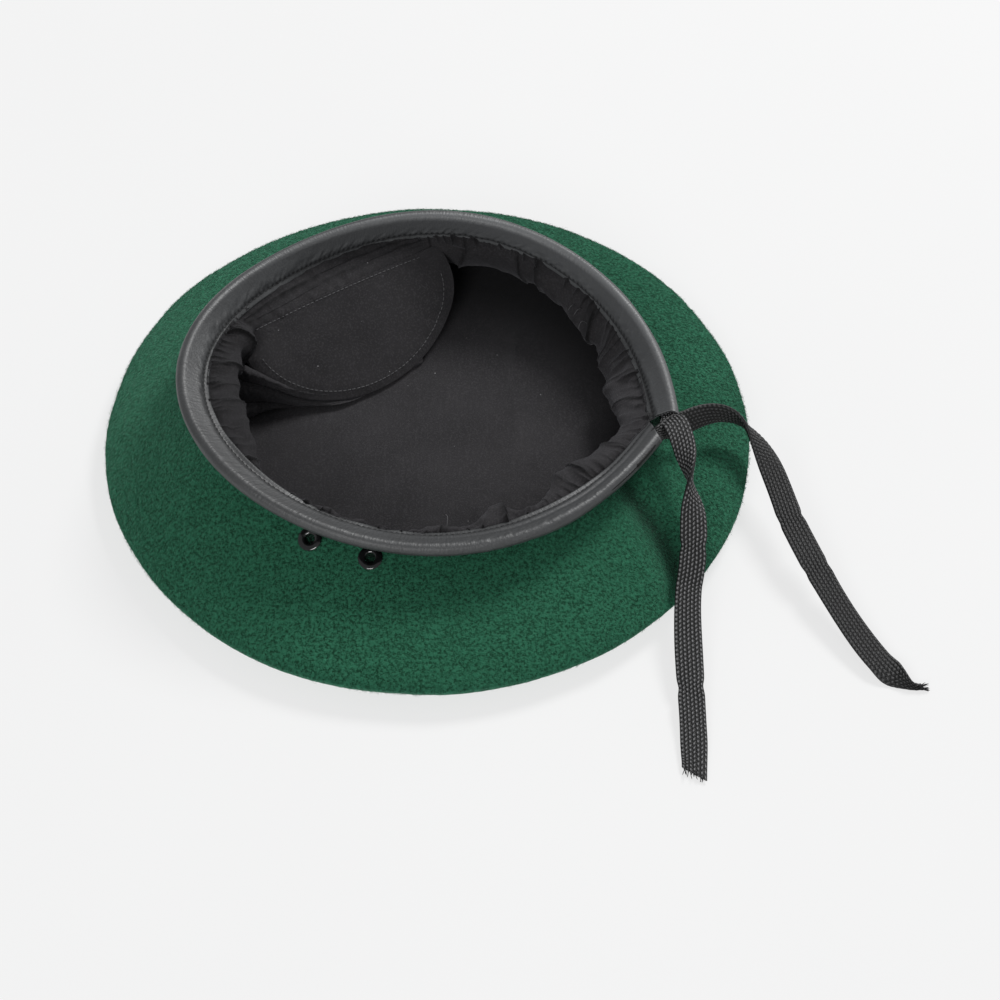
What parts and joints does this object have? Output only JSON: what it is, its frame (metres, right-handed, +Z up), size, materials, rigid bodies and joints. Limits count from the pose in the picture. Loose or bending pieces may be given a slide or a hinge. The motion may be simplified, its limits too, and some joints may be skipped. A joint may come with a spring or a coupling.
{
  "type": "beret",
  "caption": "Felted wool beret lying crown down, with a leather band open at the back, a drawcord with two loose tails, a lining, a badge stiffener and vent eyelets.",
  "frame": {"origin": "middle of the flat face of the crown that the beret rests on, opening up", "axes": "+Z up, out of the opening; -X towards the front of the beret; +X towards the back, where the drawcord comes out; -Y is the wearer's right side, which has the vent eyelets"},
  "size_m": [0.333, 0.3029, 0.0576],
  "materials": {
    "wool": "felted wool, matt with a short nap",
    "leather": "smooth black-grey leather, satin",
    "lining": "plain-woven cotton, matt",
    "board": "stiff buckram board, matt",
    "cord": "flat braid, slightly shiny",
    "eyelet": "black enamel, glossy",
    "thread": "polyester sewing thread"
  },
  "bodies": {
    "beret": {"wool_shell": "wool", "leather_band": "leather", "crown_lining": "lining", "side_lining": "lining", "badge_stiffener": "board", "stiffener_cover": "lining", "drawcord_run": "cord", "vent_grommet_front": "eyelet", "vent_grommet_rear": "eyelet", "vent_washer_front": "eyelet", "vent_washer_rear": "eyelet", "band_thread": "thread", "cover_thread": "thread", "crown_seam_thread": "thread", "mouth_bar_tack": "thread"},
    "near_stub": {"near_cord_stub": "cord"},
    "near_drape": {"near_cord_drape": "cord"},
    "near_end": {"near_cord_end": "cord"},
    "far_stub": {"far_cord_stub": "cord"},
    "far_drape": {"far_cord_drape": "cord"},
    "far_end": {"far_cord_end": "cord"}
  },
  "joints": [
    {"name": "near_pull", "type": "slide", "parent": "beret", "child": "near_stub", "axis": [0.3084, -0.9098, 0.2776], "range_m": [0, 0.015]},
    {"name": "near_lift", "type": "hinge", "parent": "near_stub", "child": "near_drape", "pos_m": [0.1019, -0.0231, 0.0416], "axis": [-0.889, -0.458, 0], "range_deg": [0, 70]},
    {"name": "near_bend", "type": "hinge", "parent": "near_drape", "child": "near_end", "pos_m": [0.1057, -0.0865, 0.0166], "axis": [-0.9905, 0.1372, 0], "range_deg": [0, 80]},
    {"name": "far_pull", "type": "slide", "parent": "beret", "child": "far_stub", "axis": [0.7148, 0.6558, -0.2427], "range_m": [0, 0.015]},
    {"name": "far_lift", "type": "hinge", "parent": "far_stub", "child": "far_drape", "pos_m": [0.1073, -0.0157, 0.0353], "axis": [0.6036, -0.7973, 0], "range_deg": [0, 60]},
    {"name": "far_bend", "type": "hinge", "parent": "far_drape", "child": "far_end", "pos_m": [0.1483, -0.0508, 0.016], "axis": [-0.932, -0.3624, 0], "range_deg": [0, 80]}
  ],
  "couplings": [
    {"joint": "far_pull", "follows": "near_pull", "ratio": 1}
  ]
}
